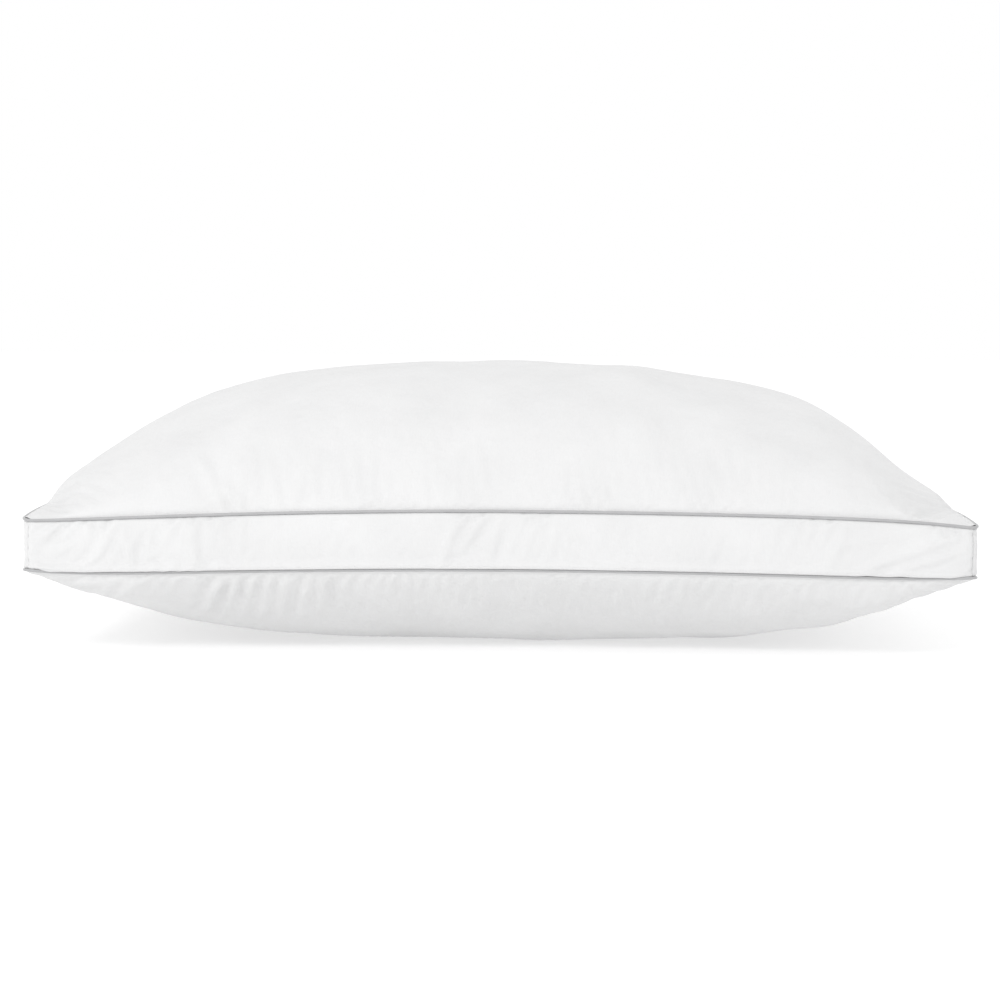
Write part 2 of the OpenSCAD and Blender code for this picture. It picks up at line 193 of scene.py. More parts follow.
class Cloth:
    """A grid of cloth held at its pinned points, whose links keep their own flat lengths."""

    # Each link as its step (di, dj) over the grid, and how stiff it is.
    LINKS = {(1, 0): 1.0, (0, 1): 1.0, (1, 1): SHEAR, (1, -1): SHEAR, (2, 0): BEND, (0, 2): BEND}

    def __init__(self, target, cut, start, spare_u, spare_v, pins):
        self.target = target.astype(np.float32)
        self.X = start.astype(np.float32)
        self.free = (~pins).astype(np.float32)[..., None]
        self.batches = []
        # Flat lengths along the grid, across it, on both its diagonals, and over two cells.
        eu = np.diff(cut, axis=0) * (1 + (spare_u[1:] + spare_u[:-1]) / 2)[..., None]
        ev = np.diff(cut, axis=1) * (1 + (spare_v[:, 1:] + spare_v[:, :-1]) / 2)[..., None]
        rest = {
            (1, 0): eu, (0, 1): ev,
            (1, 1): (eu[:, :-1] + eu[:, 1:] + ev[:-1] + ev[1:]) / 2,
            (1, -1): (eu[:, :-1] + eu[:, 1:] - ev[:-1] - ev[1:]) / 2,
        }
        rest = {k: np.linalg.norm(v, axis=-1) for k, v in rest.items()}
        rest[(2, 0)] = rest[(1, 0)][1:] + rest[(1, 0)][:-1]
        rest[(0, 2)] = rest[(0, 1)][:, 1:] + rest[(0, 1)][:, :-1]
        n, m = target.shape[:2]
        for (di, dj), stiffness in self.LINKS.items():
            # The links of one batch share no points, so they are all moved at once.
            hop = 2 * max(di, abs(dj))
            for c in range(hop):
                if di:
                    a = slice(c, n - di, hop), slice(max(-dj, 0), m - max(dj, 0))
                    b = slice(c + di, n, hop), slice(max(dj, 0), m - max(-dj, 0))
                    own = slice(c, None, hop), slice(None)
                else:
                    a = slice(0, n), slice(c, m - dj, hop)
                    b = slice(0, n), slice(c + dj, m, hop)
                    own = slice(None), slice(c, None, hop)
                r = rest[(di, dj)][own].astype(np.float32)
                wa, wb = self.free[a][..., 0], self.free[b][..., 0]
                total = np.maximum(wa + wb, 1e-6)
                self.batches.append((a, b, r, (wa / total)[..., None], (wb / total)[..., None],
                                     np.float32(stiffness)))

    def run(self, steps, push, hold):
        """Steps the free points: the fill pushes them out, and hold draws them to the target."""
        X, T = self.X, self.target
        V = np.zeros_like(X)
        for step in range(steps):
            old = X.copy()
            N = normals(X).astype(np.float32)
            off = ((T - X) * N).sum(-1, keepdims=True)
            X += self.free * (V * np.float32(DAMPING) + N * (off * hold + push))
            order = self.batches if step % 2 else self.batches[::-1]
            for _ in range(SWEEPS):
                for a, b, r, wa, wb, k in order:
                    A, B = X[a], X[b]
                    d = B - A
                    length = np.sqrt((d * d).sum(-1)) + 1e-9
                    d *= (k * (1 - r / length))[..., None]
                    A += d * wa
                    B -= d * wb
            V = np.clip(X - old, -MAX_STEP, MAX_STEP)
        return X


def blurred(a, width):
    """a, softened over about width cells both ways."""
    reach = int(width * 2.5)
    kernel = np.exp(-0.5 * (np.arange(-reach, reach + 1) / width) ** 2)
    kernel /= kernel.sum()
    for axis in (0, 1):
        pad = [(0, 0)] * a.ndim
        pad[axis] = (reach, reach)
        p = np.pad(a, pad, mode="edge")
        n = a.shape[axis]
        a = sum(k * np.take(p, range(i, i + n), axis=axis) for i, k in enumerate(kernel))
    return a


def edge_pins(shape):
    """True round the edge of a grid, where the seams hold it."""
    pins = np.zeros(shape, bool)
    pins[[0, -1]] = True
    pins[:, [0, -1]] = True
    return pins


# ---- mesh writing
def new_object(name, verts, faces, uvs=None):
    """A smooth mesh from points in mm, and cut places in mm as its UV map."""
    mesh = bpy.data.meshes.new(name)
    mesh.from_pydata((np.asarray(verts, float) * MM).tolist(), [], faces)
    if uvs is not None:
        layer = mesh.uv_layers.new(name="cut")
        loops = np.zeros(len(mesh.loops), np.int32)
        mesh.loops.foreach_get("vertex_index", loops)
        layer.data.foreach_set("uv", (np.asarray(uvs, float)[loops] * MM).ravel())
    mesh.polygons.foreach_set("use_smooth", np.ones(len(mesh.polygons), bool))
    mesh.update()
    obj = bpy.data.objects.new(name, mesh)
    bpy.context.scene.collection.objects.link(obj)
    return obj


def grid_faces(n, m, base=0, wrap=False, wrap_across=False):
    """The quads of an n by m grid of points, closed either way if asked."""
    i, j = np.meshgrid(np.arange(n if wrap else n - 1),
                       np.arange(m if wrap_across else m - 1), indexing="ij")
    after, beside = (i + 1) % n, (j + 1) % m
    quads = np.stack([i * m + j, after * m + j, after * m + beside, i * m + beside], -1)
    return (base + quads).reshape(-1, 4).tolist()


def add_rings(mesh, ids, rings, marks, closed=True):
    """Joins rings of new points, with their UV marks, one after the other to a mesh's points ids."""
    verts, uvs, faces = mesh
    for points, mark in zip(rings, marks):
        new = np.arange(len(verts), len(verts) + len(points))
        verts.extend(points)
        uvs.extend(mark)
        quads = np.stack([ids, np.roll(ids, -1), np.roll(new, -1), new], -1)
        faces.extend((quads if closed else quads[:-1]).tolist())
        ids = new


def border(n, m):
    """The indices round the edge of an n by m grid, and their outward directions."""
    i = np.concatenate([np.arange(n - 1), np.full(m - 1, n - 1), np.arange(n - 1, 0, -1),
                        np.zeros(m - 1, int)])
    j = np.concatenate([np.zeros(n - 1, int), np.arange(m - 1), np.full(n - 1, m - 1),
                        np.arange(m - 1, 0, -1)])
    out = np.stack([(i == n - 1) * 1.0 - (i == 0), (j == m - 1) * 1.0 - (j == 0)], -1)
    return i, j, out


# ---- panels
# Where the front seams are gathered: (place along, strength, spread) for each piece.
FRONT_GATHERS = {
    "crown": ((-226, 1.2, 26), (-120, 0.35, 45), (60, 0.35, 60), (150, 0.4, 40), (295, 0.6, 24)),
    "belly": ((-205, 1.6, 58), (-325, 0.3, 35), (-75, 0.3, 40), (120, 0.2, 45)),
    "gusset": ((-338, 1.9, 30), (-262, 1.4, 30), (-35, 0.9, 24), (16, 0.6, 14), (215, 0.22, 45),
               (325, 0.3, 42)),
}
# Single creases at the front: from (along, in) to (along, in), and height, where in is the
# distance from a panel's seam, or up from the gusset's lower one.
CREASES = {
    "crown": ((-240, 62, -212, 4, 1.8), (-222, 34, -200, 3, 1.2), (-268, 50, -262, 18, 0.7),
              (284, 62, 312, 8, 1.6), (262, 34, 280, 6, 0.8), (-150, 40, -158, 6, 0.9),
              (-176, 30, -170, 4, 0.9), (-60, 26, -56, 4, 0.7), (-18, 70, -12, 30, 0.7),
              (62, 24, 66, 4, 0.7)),
    "belly": ((-218, 4, -236, 50, 2.6), (-206, 5, -224, 58, 2.5), (-195, 3, -207, 52, 2.2),
              (-183, 6, -194, 58, 2.2), (-170, 4, -178, 48, 1.7), (-150, 8, -161, 54, 2.1),
              (-139, 5, -148, 48, 1.7), (-122, 6, -128, 36, 0.7), (-287, 6, -304, 30, 1.1),
              (64, 4, 60, 22, 0.7), (96, 5, 92, 26, 0.7), (128, 4, 125, 20, 0.6)),
    "gusset": ((360, 36, 286, 6, 1.9), (352, 20, 306, 4, 1.3), (340, 42, 262, 22, 0.9),
               (-318, 8, -300, 42, 1.1), (-290, 42, -282, 10, 1.0), (-238, 40, -232, 6, 1.3),
               (-30, 40, -42, 8, 1.1), (-20, 34, -34, 12, 0.8), (2, 40, -6, 10, 1.0),
               (172, 36, 164, 10, 0.7), (268, 38, 258, 10, 0.8)),
}
# Bumps of the crown and the belly along the length: (place along, height, spread).
CROWN_BUMPS = ((342, -10.8, 32), (264, 2.8, 32), (154, -4.2, 34), (-26, -1.8, 32),
               (-205, 1.8, 26), (-335, 1.2, 22), (-282, 2.8, 36))
BELLY_BUMPS = ((-312, 4.4, 34), (287, 8.0, 42), (205, 2.4, 45))
# The flat ears at the corners reach this far along the end and along the side.
EAR_END, EAR_SIDE = 36.0, 95.0
# The share of the crown's full rise, and the least height of its cloth over the seam.
SETTLED, LEAST_RISE = 0.985, 1.6
# A piece's own edge lies this far outside the seam line, and off the seam's level.
EDGE_OUT, EDGE_UP = 0.3, 0.7
# The fill's push on the cloth, the pull back to the smooth form, and the share of broad drift
# that is taken back at the end.
PANEL_PUSH, PANEL_HOLD, PANEL_SETTLE = 0.045, 0.012, 0.85
GUSSET_PUSH, GUSSET_HOLD, GUSSET_SETTLE = 0.03, 0.02, 0.6
# Each panel's seed, spare length at the seams and how far in it reaches, spare length at the
# corners, and how far the front seam drags the cloth along.
SEWING = {
    "crown": {"seed": 11, "spare": 0.048, "reach": 22, "corner": 0.008, "drag": -1.5},
    "belly": {"seed": 47, "spare": 0.095, "reach": 38, "corner": 0.02, "drag": -2.4},
}


def creases(along, deep, places, width=3.2):
    """The height of single creases, a ridge with a valley along its side."""
    total = 0.0
    for x0, d0, x1, d1, height in places:
        run = np.array([x1 - x0, d1 - d0], float)
        length = np.linalg.norm(run)
        run /= length
        t = ((along - x0) * run[0] + (deep - d0) * run[1]) / length
        off = (along - x0) * run[1] - (deep - d0) * run[0]
        fade = smooth((t + 0.05) / 0.35) * smooth((1.25 - t) / 0.3)
        total = total + height * fade * (off / width + 0.5) * np.exp(-0.5 * (off / width) ** 2)
    return total


def spaced(profile, fine=1.7, step=3.1, growth=1.18):
    """Plan and cut places from the edge to the middle, closer together near the edge."""
    s = np.linspace(0, 1, 4000) ** 2
    x, z = profile(s)
    arc = np.concatenate([[0], np.cumsum(np.hypot(np.diff(x), np.diff(z)))])
    at, gap = [0.0], fine
    while at[-1] + gap < arc[-1] - step / 2:
        at.append(at[-1] + gap)
        gap = min(step, gap * growth)
    at.append(arc[-1])
    return np.interp(at, arc, x), np.array(at), arc[-1]


def axis_places(profile):
    """Plan and cut places all the way across a panel, from one edge to the other."""
    plan, cut, total = spaced(profile)
    return (np.concatenate([-plan, plan[-2::-1]]),
            np.concatenate([cut - total, (total - cut)[-2::-1]]))


def cornered(p, a, b, r):
    """Plan points of an a by b half rectangle, with its corners rounded off to radius r."""
    c = np.abs(p) - np.array([a - r, b - r])
    inside = (c > 0).all(-1)
    m = np.where(inside[..., None], c / r, 1.0)
    scale = m.max(-1) / np.linalg.norm(m, axis=-1)
    moved = np.sign(p) * (np.array([a - r, b - r]) + m * scale[..., None] * r)
    return np.where(inside[..., None], moved, p)


def inset_plan(p, inset):
    """Points on the rounded outline moved straight in, on to the outline that lies inside."""
    half = np.array([LENGTH / 2, WIDTH / 2])
    inner_r = max(CORNER_R - inset, MIN_R)
    arc, inner_arc = half - CORNER_R, half - inset - inner_r
    over = np.abs(p) - arc
    on_arc = (over > 1e-6).all(-1)
    out = np.maximum(over, 0)
    out /= np.maximum(np.linalg.norm(out, axis=-1, keepdims=True), 1e-9)
    along = np.minimum(np.abs(p) / arc, 1) * inner_arc
    straight = np.where(over > 1e-6, half - inset, along)
    return np.sign(p) * np.where(on_arc[..., None], inner_arc + out * inner_r, straight)


def ears(P):
    """From 0 on the flat ear at each corner, where the fill doesn't reach, to 1 beyond it."""
    gap = np.hypot((LENGTH / 2 - np.abs(P[..., 0])) / EAR_END,
                   (WIDTH / 2 - np.abs(P[..., 1])) / EAR_SIDE)
    return smooth((gap - 0.45) / 0.6)


def crown_height(P, s):
    """The crown's rise, with flat ears at the corners and its bumps along the length."""
    x = P[..., 0]
    to_edge = np.maximum(np.minimum(LENGTH / 2 - np.abs(x), WIDTH / 2 - np.abs(P[..., 1])), 0)
    rise = SETTLED * crown_rise(s) + gathers(x, CROWN_BUMPS) * (1 - np.exp(-to_edge / 12))
    return np.maximum(rise * ears(P), LEAST_RISE * (1 - np.exp(-to_edge / 2.5)))


def belly_height(P, s):
    """The share of the belly's depth at s, and how much lower its bumps hang."""
    share = belly_share(np.minimum(s, 1))
    return share, gathers(P[..., 0], BELLY_BUMPS) * smooth((1 - s) / 0.3) * smooth(s / 0.1)


def crown_profile(half):
    """The crown's section, from its edge (0) to its middle (1)."""
    return lambda s: (half * (1 - s), crown_rise(s))


def belly_profile(half, rest):
    """The belly's section: the slope, and then the flat patch."""
    def shape(s):
        t = np.minimum(s * 1.6, 1)
        return (np.where(s * 1.6 < 1, mix(half, rest, t), rest * (1 - s) * 1.6 / 0.6),
                BELLY * (1 - belly_share(t)))
    return shape


def panel_target(kind, lift):
    """The smooth panel: its points, their shares of the way in, plan places and cut places."""
    a, b = LENGTH / 2, WIDTH / 2
    if kind == "crown":
        profiles = crown_profile(a), crown_profile(b)
    else:
        profiles = belly_profile(a, REST_LENGTH / 2), belly_profile(b, REST_WIDTH / 2)
    xs, cx = axis_places(profiles[0])
    ys, cy = axis_places(profiles[1])
    P = np.stack(np.meshgrid(xs, ys, indexing="ij"), -1)
    C = np.stack(np.meshgrid(cx, cy, indexing="ij"), -1)
    P = cornered(P, a, b, CORNER_R)
    s = ring_share(P, crown_sizes if kind == "crown" else belly_sizes)
    Q = pulled_in(P)
    if kind == "crown":
        z = seam_z(Q, TOP) + lift + crown_height(P, s)
    else:
        share, fuller = belly_height(P, s)
        z = mix(seam_z(Q, BOTTOM) - lift, 0.0, share) - fuller
        z = np.where(s > 0.999, 0.0, z)
    return np.concatenate([Q, z[..., None]], -1), s, P, C


def edge_distance(C):
    """Cloth distance from each of the panel's edges: to the ends, and to the sides."""
    return (np.minimum(C[..., 0] - C[0, 0, 0], C[-1, 0, 0] - C[..., 0]),
            np.minimum(C[..., 1] - C[0, 0, 1], C[0, -1, 1] - C[..., 1]))


def shallow(X, T, N, near):
    """X with its dents kept shallow beside the seams, where the allowances lie behind."""
    reach, slope, unlimited = 14, 0.13, 99
    dent = ((X - T) * N).sum(-1)
    least = np.where(near < reach, -slope * near, -unlimited)
    return X + N * np.maximum(least - dent, 0)[..., None]


def panel_relief(kind, P, s, near):
    """The height of lumps in the fill, thin ridges, and the roll of cloth over the piping."""
    seed = SEWING[kind]["seed"]
    off_floor = 1.0 if kind == "crown" else 1 - smooth((s - 0.75) / 0.2)
    lumps = (0.9 * noise(P, 170, seed) + 0.45 * noise(P, 80, seed + 1)) * smooth(near / 60)
    lumps *= off_floor
    roll = 1.5 * (1 - np.exp(-near / 1.3)) * np.exp(-near / 8)
    # The roll is lower towards the front's right end, and on the crown's ears.
    roll *= 1 - 0.75 * smooth((P[..., 0] - 215) / 70) * (P[..., 1] < 0)
    if kind == "crown":
        roll *= 0.2 + 0.8 * ears(P)
    ridges = crinkle(P, 24, 2.0, seed + 9) * smooth(near / 10) * off_floor
    return lumps + roll + 0.28 * ridges


def spare_cloth(kind, P, to_end, to_side):
    """Spare length both ways, dying out inwards, and how gathered the long seams are."""
    seed, amount, reach = (SEWING[kind][key] for key in ("seed", "spare", "reach"))
    by_end = 0.6 + 0.5 * noise(np.stack([P[..., 1], P[..., 0] * 0.2], -1), 90, seed + 2)
    back_side = 0.6 + 0.5 * noise(np.stack([P[..., 0], P[..., 1] * 0.2], -1), 90, seed + 3)
    by_side = np.where(P[..., 1] < 0, 0.28 + gathers(P[..., 0], FRONT_GATHERS[kind]), back_side)
    patch = np.clip(0.75 + 0.75 * noise(P, 40, seed + 8), 0, 2)
    along_side = amount * patch * np.clip(by_side, 0.1, 2) * np.exp(-to_side / reach)
    along_end = amount * patch * np.clip(by_end, 0.1, 2) * np.exp(-to_end / reach)
    if kind == "crown":
        along_end *= 1 - 0.7 * smooth(-P[..., 1] / 120)
    corner = SEWING[kind]["corner"] * np.exp(-np.hypot(to_end, to_side) / 60)
    everywhere = 0.003
    return along_side + corner + everywhere, along_end + corner + everywhere, by_side


def dragged(kind, T, P, to_end, to_side, by_side):
    """Cut places for the points T: uneven sewing drags cloth along a seam, and slants its folds."""
    seed, reach = SEWING[kind]["seed"], 34
    drag_x = np.where(P[..., 1] < 0, SEWING[kind]["drag"], 4.0 * noise(P, 260, seed + 4))
    drag_x = drag_x * np.clip(by_side, 0, 1.4) * np.exp(-to_side / reach) * smooth(to_end / 60)
    drag_y = 4.0 * noise(P, 260, seed + 5) * np.exp(-to_end / reach) * smooth(to_side / 60)
    cut = T.copy()
    cut[..., 0] += drag_x
    cut[..., 1] += drag_y
    return cut


def panel(kind):
    """One settled panel: its points, plan and cut places, and whether its grid faces inwards."""
    crown = kind == "crown"
    seed = SEWING[kind]["seed"]
    T, s, P, C = panel_target(kind, EDGE_UP)
    N = normals(T)
    flip = bool(N[N.shape[0] // 2, N.shape[1] // 2, 2] * (1 if crown else -1) < 0)
    if flip:
        N = -N
    to_end, to_side = edge_distance(C)
    near = np.minimum(to_end, to_side)
    T = T + N * panel_relief(kind, P, s, near)[..., None]
    T = T + N * creases(P[..., 0], C[..., 1] - C[0, 0, 1], CREASES[kind])[..., None]
    # The edge itself stands a little outside the seam line.
    edge = near < 1e-6
    out = P - inset_plan(P, 1.0)
    T[..., :2] += np.where(edge[..., None], out * EDGE_OUT, 0)
    spare_u, spare_v, by_side = spare_cloth(kind, P, to_end, to_side)
    cut = dragged(kind, T, P, to_end, to_side, by_side)
    uneven = noise(P, 14, seed + 6, 60) + 0.7 * noise(P, 30, seed + 7, 60)
    start = T + N * (0.35 * uneven * np.exp(-near / 50) * smooth(near / 6))[..., None]
    pins = edge_pins(s.shape)
    if not crown:
        pins |= s > 0.97
    cloth = Cloth(T, cut, start, spare_u, spare_v, pins)
    push = (-PANEL_PUSH if flip else PANEL_PUSH) * np.exp(-near / 70)[..., None]
    steps = PANEL_STEPS
    X = cloth.run(steps, push.astype(np.float32), np.float32(PANEL_HOLD))
    X = X - PANEL_SETTLE * blurred(X - T, 9)
    X = shallow(X, T, N, near)
    if crown:
        clear = seam_z(X, TOP) + LAYER + 0.8 * (1 - np.exp(-near / 2.5))
        X[..., 2] = np.where(edge, X[..., 2], np.maximum(X[..., 2], clear))
    else:
        X[..., 2] = np.maximum(X[..., 2], 0.15)
    return X, P, C, flip


def panel_object(name, kind):
    """One panel with its seam allowance turned in, its grid and plan, and its cut size in metres."""
    X, P, C, flip = panel(kind)
    n, m = X.shape[:2]
    level, side = (TOP, 1) if kind == "crown" else (BOTTOM, -1)
    verts, uvs, faces = list(X.reshape(-1, 3)), list(C.reshape(-1, 2)), grid_faces(n, m)
    i, j, out = border(n, m)
    rings, marks = [], []
    for inset in SEAM_INSETS:
        q = pulled_in(inset_plan(P[i, j], inset))
        z = seam_z(q, level) + side * LAYER
        rings.append(np.concatenate([q, z[:, None]], -1))
        marks.append(C[i, j] + out * inset)
    add_rings((verts, uvs, faces), (i * m + j), rings, marks)
    if flip:
        faces = [f[::-1] for f in faces]
    size = np.ptp(C.reshape(-1, 2), axis=0) + 2 * ALLOWANCE
    return new_object(name, verts, faces, uvs), X, P, tuple(size * MM)


top, top_grid, top_plan, top_cut = panel_object("top_ticking", "crown")
bottom, bottom_grid, bottom_plan, bottom_cut = panel_object("bottom_ticking", "belly")


# ---- seam outline
LONG_STEPS, SHORT_STEPS, ARC_STEPS = 225, 150, 10
LONG_RUN, SHORT_RUN = LONG_STEPS + 2 * ARC_STEPS, SHORT_STEPS + 2 * ARC_STEPS
STATIONS = 2 * (LONG_RUN + SHORT_RUN)
# The first and last station of each side, from corner to corner.
SIDE_RUNS = {"front": (0, LONG_RUN), "right": (LONG_RUN, LONG_RUN + SHORT_RUN),
             "back": (LONG_RUN + SHORT_RUN, STATIONS - SHORT_RUN),
             "left": (STATIONS - SHORT_RUN, STATIONS)}


def outline(inset):
    """A closed outline from the middle of the front left corner, anticlockwise."""
    a, b, r = LENGTH / 2 - inset, WIDTH / 2 - inset, max(CORNER_R - inset, MIN_R)
    points = []
    corners = ((-1, -1, 225), (1, -1, 315), (1, 1, 45), (-1, 1, 135))

    def half_corner(sx, sy, start):
        t = np.radians(start + 45 * np.arange(ARC_STEPS + 1) / ARC_STEPS)
        return np.stack([sx * (a - r) + r * np.cos(t), sy * (b - r) + r * np.sin(t)], -1)

    for k, (sx, sy, start) in enumerate(corners):
        steps = (LONG_STEPS, SHORT_STEPS)[k % 2]
        tx, ty, _ = corners[(k + 1) % 4]
        first, last = half_corner(sx, sy, start), half_corner(tx, ty, start + 45)
        run = mix(first[-1], last[0], (np.arange(1, steps) / steps)[:, None])
        points += [first, run, last[:-1]]
    return pulled_in(np.concatenate(points))


def level_ring(inset, level, height):
    """The outline at an inset, at the height of the seams' level plus height."""
    p = outline(inset)
    return np.concatenate([p, (seam_z(p, level) + height)[:, None]], -1)


def outwards(base, inset=3.0):
    """Level unit directions from the outline at an inset to the points of base."""
    out = base[:, :2] - outline(inset)
    return out / np.linalg.norm(out, axis=1, keepdims=True)


def seam_line(level):
    """The seam's points, the distance along it, its whole length, and its outward directions."""
    base = level_ring(0, level, 0)
    run = distance_along(base)
    return base, run, run[-1] + np.linalg.norm(base[0] - base[-1]), outwards(base)


# ---- gusset
# Rows from the bottom seam (0) to the top one (1), closer together near both.
GUSSET_ROWS = np.concatenate([[0, 0.03, 0.065, 0.105, 0.15, 0.2], np.linspace(0.255, 0.745, 9),
                              [0.8, 0.85, 0.895, 0.935, 0.97, 1]])
UP, DOWN = GUSSET_ROWS * GUSSET, (1 - GUSSET_ROWS) * GUSSET
# The cloth flares out over the lower seam's allowances, and is rounded under the upper seam.
FLARE, ROUNDED = 4.2, 0.9


def gusset_form(index, to_corner):
    """The smooth band: level rows that bulge and flare, less so near the corners."""
    flare = FLARE * (1 - smooth((UP - 1.2) / 5.0))
    rounded = ROUNDED * np.exp(-((DOWN - 2.6) / 1.8) ** 2)
    full, flared = mix(0.2, 1, smooth(to_corner / 45)), mix(0.15, 1, smooth(to_corner / 22))
    rows = []
    for k, level in enumerate(GUSSET_ROWS):
        bulge = BULGE * math.sin(math.pi * level) ** 0.7 * full + flare[k] * flared + rounded[k]
        if level in (0, 1):
            bulge = np.full_like(to_corner, EDGE_OUT)
        ring = level_ring(0, level, 0)
        row = ring[index]
        row[:, :2] += outwards(ring)[index] * bulge[:, None]
        rows.append(row)
    T = np.stack(rows, 1)
    T[..., 2] += EDGE_UP * (np.exp(-UP / 3) - np.exp(-DOWN / 3))
    return T


def add_gusset_edges(mesh, X, R, index):
    """Turns the gusset's allowances in along both seams, and its flaps in at both corners."""
    n, m = X.shape[:2]
    for level, column, turn in ((BOTTOM, 0, 1), (TOP, m - 1, -1)):
        order = slice(None, None, -turn)
        rings = [level_ring(d, level, turn * LAYER)[index][order] for d in SEAM_INSETS]
        marks = [(R[:, column] - [0, turn * d])[order] for d in SEAM_INSETS]
        ids = np.arange(n) * m + column
        add_rings(mesh, ids[order], rings, marks, closed=False)
    # The corner seams' flaps run inwards along the corner's diagonal, side by side.
    beside, kept = 0.35, np.arange(3, m - 3)
    for row, turn in ((0, 1), (n - 1, -1)):
        order = slice(None, None, turn)
        end = X[row, kept]
        inward = -np.sign(end[:, :2]) / math.sqrt(2)
        aside = (X[row + turn * 4, kept] - end)[:, :2]
        aside /= np.linalg.norm(aside, axis=1, keepdims=True)
        rings, marks = [], []
        for d in (1.0, FLAP / 2, FLAP):
            q = end.copy()
            q[:, :2] += inward * d + aside * beside
            rings.append(q[order])
            marks.append((R[row, kept] - [turn * d, 0])[order])
        add_rings(mesh, (row * m + kept)[order], rings, marks, closed=False)


def gusset_object(side, seed):
    """One side's band of cloth with its allowances, its grid, and its cut size in metres."""
    first, last = SIDE_RUNS[side]
    index = np.arange(first, last + 1) % STATIONS
    run = distance_along(level_ring(0, 0.5, 0)[index])
    to_corner = np.minimum(run, run[-1] - run)
    T = gusset_form(index, to_corner)
    N = normals(T)
    centre = np.array([0, 0, T[..., 2].mean()])
    sign = 1.0 if ((T - centre) * N).sum() > 0 else -1.0
    R = np.stack(np.broadcast_arrays(run[:, None], UP[None]), -1)
    to_corner = to_corner[:, None]
    inner = smooth(to_corner / 12) * smooth(np.minimum(GUSSET_ROWS, 1 - GUSSET_ROWS) / 0.15)[None]
    ridges = 0.3 * crinkle(R, 20, 1.6, seed + 6)
    T = T + N * sign * ((0.8 * noise(R, 90, seed) + ridges) * inner)[..., None]
    # The corner seams draw the ends in.
    T = T - N * sign * np.exp(-to_corner / 1.6)[..., None]
    if side == "front":
        along = run[:, None] - run[-1] / 2
        strength = 0.08 + gathers(along, FRONT_GATHERS["gusset"])
        slant = -0.8 - 1.7 * smooth((along + 230) / 120) - 1.2 * smooth((along - 120) / 120)
        # A shallow hollow beside the left corner.
        hollow = 1.3 * np.exp(-((along + 344) / 13) ** 2 - ((UP[None] - 27) / 6) ** 2)
        T = T + N * sign * (creases(along, UP[None], CREASES["gusset"]) - hollow)[..., None]
    else:
        strength = 0.7 + 0.5 * noise(R * [1, 0], 110, seed + 1)
        slant = 2.2 * noise(run[:, None], 170, seed + 2)[:, None]
    patch = np.clip(0.8 + 0.8 * noise(R, 34, seed + 5), 0, 2)
    spare = 0.003 + 0.030 * np.clip(strength, 0, 2) * patch
    spare_up = (0.008 + 0.030 * smooth(1 - to_corner / 110)) * np.ones_like(patch)
    # Sewing drags the cloth along towards the upper seam, which slants the folds.
    drag = slant * np.clip(strength, 0, 1.5) * smooth(to_corner / 40) * GUSSET_ROWS[None]
    tangent = np.gradient(T, axis=0)
    tangent /= np.linalg.norm(tangent, axis=-1, keepdims=True)
    cut = T + tangent * drag[..., None]
    uneven = noise(R, 11, seed + 3, 60) + 0.8 * noise(R, 24, seed + 4, 60)
    start = T + N * (0.3 * uneven * inner)[..., None]
    cloth = Cloth(T, cut, start, spare, spare_up, edge_pins(patch.shape))
    push = np.full((1, 1, 1), GUSSET_PUSH * sign, np.float32)
    X = cloth.run(GUSSET_STEPS, push, np.float32(GUSSET_HOLD))
    X = X - GUSSET_SETTLE * blurred(X - T, 7)
    X = shallow(X, T, N * sign, np.minimum(UP, DOWN))
    verts, uvs, faces = list(X.reshape(-1, 3)), list(R.reshape(-1, 2)), grid_faces(*X.shape[:2])
    add_gusset_edges((verts, uvs, faces), X, R, index)
    if sign < 0:
        faces = [f[::-1] for f in faces]
    height = np.linalg.norm(np.diff(X, axis=1), axis=-1).sum(1).mean()
    size = ((run[-1] + 2 * FLAP) * MM, (height + 2 * ALLOWANCE) * MM)
    return new_object(f"{side}_gusset", verts, faces, uvs), X, size


GUSSET_SEED, SEED_STEP = 200, 20
gussets = {side: gusset_object(side, GUSSET_SEED + SEED_STEP * k) for k, side in enumerate(SIDE_RUNS)}


# ---- piping
def around_cord(base, outward, radius, t):
    """The seam's points moved on to a circle round the cord's centre, at angle t."""
    ring = base.copy()
    ring[:, :2] += outward * (CORD_OUT - radius * math.cos(t))[:, None]
    ring[:, 2] += radius * math.sin(t)
    return ring


def piping_object(name, level, seed):
    """A bias strip round its cord, with both raw edges running into the seam."""
    around, inner_edge = 24, 4.0
    open_angle = math.asin(STRIP / TUBE_R)
    base, run, loop, outward = seam_line(level)
    turn = run / loop * 2 * np.pi
    P = np.stack([np.cos(turn), np.sin(turn)], -1) * loop / (2 * np.pi)
    rings, uvs = [], []
    for edge in (ALLOWANCE, inner_edge):
        rings.append(level_ring(edge, level, STRIP))
        uvs.append(np.stack([run, np.full_like(run, -edge)], -1))
    # The strip is snug round the cord, with long faint swells where the cloth is eased.
    full = 1 + 0.01 * noise(P, 40, seed)
    for k in range(around + 1):
        t = open_angle + (2 * math.pi - 2 * open_angle) * k / around
        ripple = 0.02 * np.sin(2 * np.pi * run / 9.0 + 2.5 * t + 2.5 * noise(P, 50, seed + 1))
        radius = TUBE_R * full + ripple * math.sin(t / 2)
        rings.append(around_cord(base, outward, radius, t))
        uvs.append(np.stack([run, np.full_like(run, TUBE_R * t)], -1))
    for edge in (inner_edge, ALLOWANCE):
        rings.append(level_ring(edge, level, -STRIP))
        uvs.append(np.stack([run, np.full_like(run, TUBE_R * 2 * math.pi + edge)], -1))
    X = np.stack(rings, 1)
    faces = grid_faces(STATIONS, len(rings), wrap=True)
    obj = new_object(name, X.reshape(-1, 3), faces, np.stack(uvs, 1).reshape(-1, 2))
    return obj, (loop * MM, (2 * ALLOWANCE + 2 * math.pi * TUBE_R) * MM)


